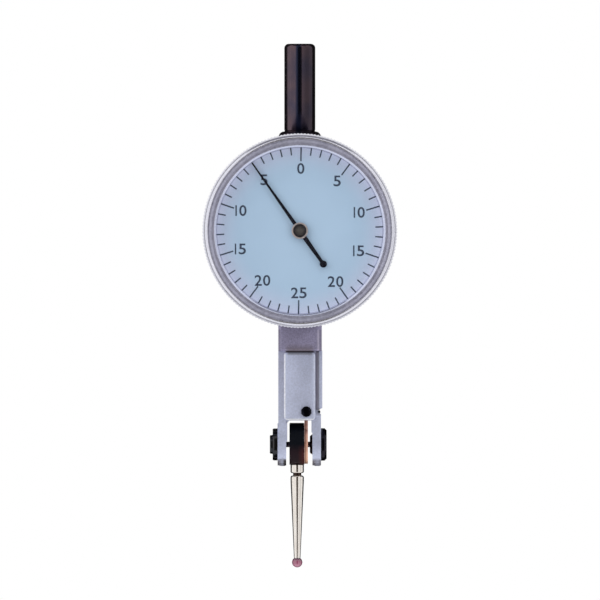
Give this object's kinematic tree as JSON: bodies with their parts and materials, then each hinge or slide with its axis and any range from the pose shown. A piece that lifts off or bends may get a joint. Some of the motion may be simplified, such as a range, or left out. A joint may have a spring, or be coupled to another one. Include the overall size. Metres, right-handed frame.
{
  "type": "dial test indicator",
  "caption": "Lever type dial test indicator: round blue dial in a turning serrated bezel, plain round stem, forked body and a swivelling ruby tipped stylus.",
  "frame": {"origin": "centre of the stem's flat top face", "axes": "+Z along the stem, away from the stylus; the dial faces -Y; +X is the viewer's right when looking at the dial"},
  "size_m": [0.038, 0.0192, 0.1015],
  "materials": {
    "satin_body": "satin plated",
    "satin_bezel": "satin plated, turned",
    "black_oxide": "blackened steel, low sheen",
    "bright_steel": "ground and polished",
    "brass": "turned",
    "copper_alloy": "rolled copper alloy, satin",
    "ruby": "polished synthetic ruby",
    "dial_blue": "matte printed dial",
    "crystal": "clear moulded crystal",
    "gasket": "pale matte",
    "hand_black": "matte black"
  },
  "bodies": {
    "frame": {"stem": "black_oxide", "case_body": "satin_body", "rear_cover": "satin_body", "front_cover": "satin_body", "side_cover": "satin_body", "front_cover_screw": "black_oxide", "side_cover_screw_1": "black_oxide", "side_cover_screw_2": "black_oxide", "rear_cover_screw_1": "bright_steel", "rear_cover_screw_2": "bright_steel", "rear_cover_screw_3": "bright_steel", "bezel_snap_ring": "bright_steel", "movement_plate": "brass", "plate_screw_1": "bright_steel", "plate_screw_2": "bright_steel", "plate_screw_3": "bright_steel", "plate_jewel": "ruby", "centre_cock": "brass", "cock_jewel": "ruby", "centre_cock_screw": "bright_steel", "arbor_cock_left": "brass", "arbor_cock_right": "brass", "arbor_jewel_left": "ruby", "arbor_jewel_right": "ruby", "arbor_cock_screw_left": "bright_steel", "arbor_cock_screw_right": "bright_steel", "sector_pin": "bright_steel", "hairspring": "bright_steel", "hairspring_stud": "brass", "pivot_screw": "black_oxide", "lock_nut": "black_oxide", "pivot_bush": "black_oxide", "pivot_cone": "black_oxide"},
    "bezel_group": {"bezel": "satin_bezel", "crystal": "crystal", "crystal_gasket": "gasket", "dial_face": "dial_blue", "dial_ring": "bright_steel"},
    "drive": {"drive_lever": "copper_alloy", "drive_pin": "bright_steel", "pivot_shaft": "black_oxide", "friction_washer": "bright_steel"},
    "stylus_group": {"stylus_holder": "black_oxide", "stylus_socket": "bright_steel", "stylus": "bright_steel", "ruby_ball": "ruby"},
    "sector": {"sector_lever": "brass"},
    "crown": {"crown_arbor": "bright_steel", "crown_wheel": "brass"},
    "centre": {"centre_arbor": "bright_steel", "hairspring_collet": "brass", "pointer": "hand_black", "pointer_hub": "hand_black"}
  },
  "joints": [
    {"name": "bezel_turn", "type": "hinge", "parent": "frame", "child": "bezel_group", "pos_m": [0, 0, -0.03625], "axis": [0, 1, 0], "continuous": true},
    {"name": "lever_swing", "type": "hinge", "parent": "frame", "child": "drive", "pos_m": [0, 0, -0.07764], "axis": [1, 0, 0], "range_deg": [0, 1.4], "stiffness_Nm_per_rad": 0.05, "springref_deg": -7.45},
    {"name": "stylus_swivel", "type": "hinge", "parent": "drive", "child": "stylus_group", "pos_m": [0, 0, -0.07764], "axis": [1, 0, 0], "range_deg": [-115, 115]},
    {"name": "sector_swing", "type": "hinge", "parent": "frame", "child": "sector", "pos_m": [0, -0.0019, -0.05605], "axis": [1, 0, 0], "range_deg": [-2.4, 0.1]},
    {"name": "crown_spin", "type": "hinge", "parent": "frame", "child": "crown", "pos_m": [0, -0.0019, -0.03625], "axis": [1, 0, 0], "range_deg": [-2, 60]},
    {"name": "pointer_turn", "type": "hinge", "parent": "frame", "child": "centre", "pos_m": [0, 0, -0.03625], "axis": [0, 1, 0], "range_deg": [-5, 410]}
  ],
  "couplings": [
    {"joint": "sector_swing", "follows": "lever_swing", "ratio": -1.613},
    {"joint": "crown_spin", "follows": "lever_swing", "ratio": 40.971},
    {"joint": "pointer_turn", "follows": "lever_swing", "ratio": 286.79}
  ]
}
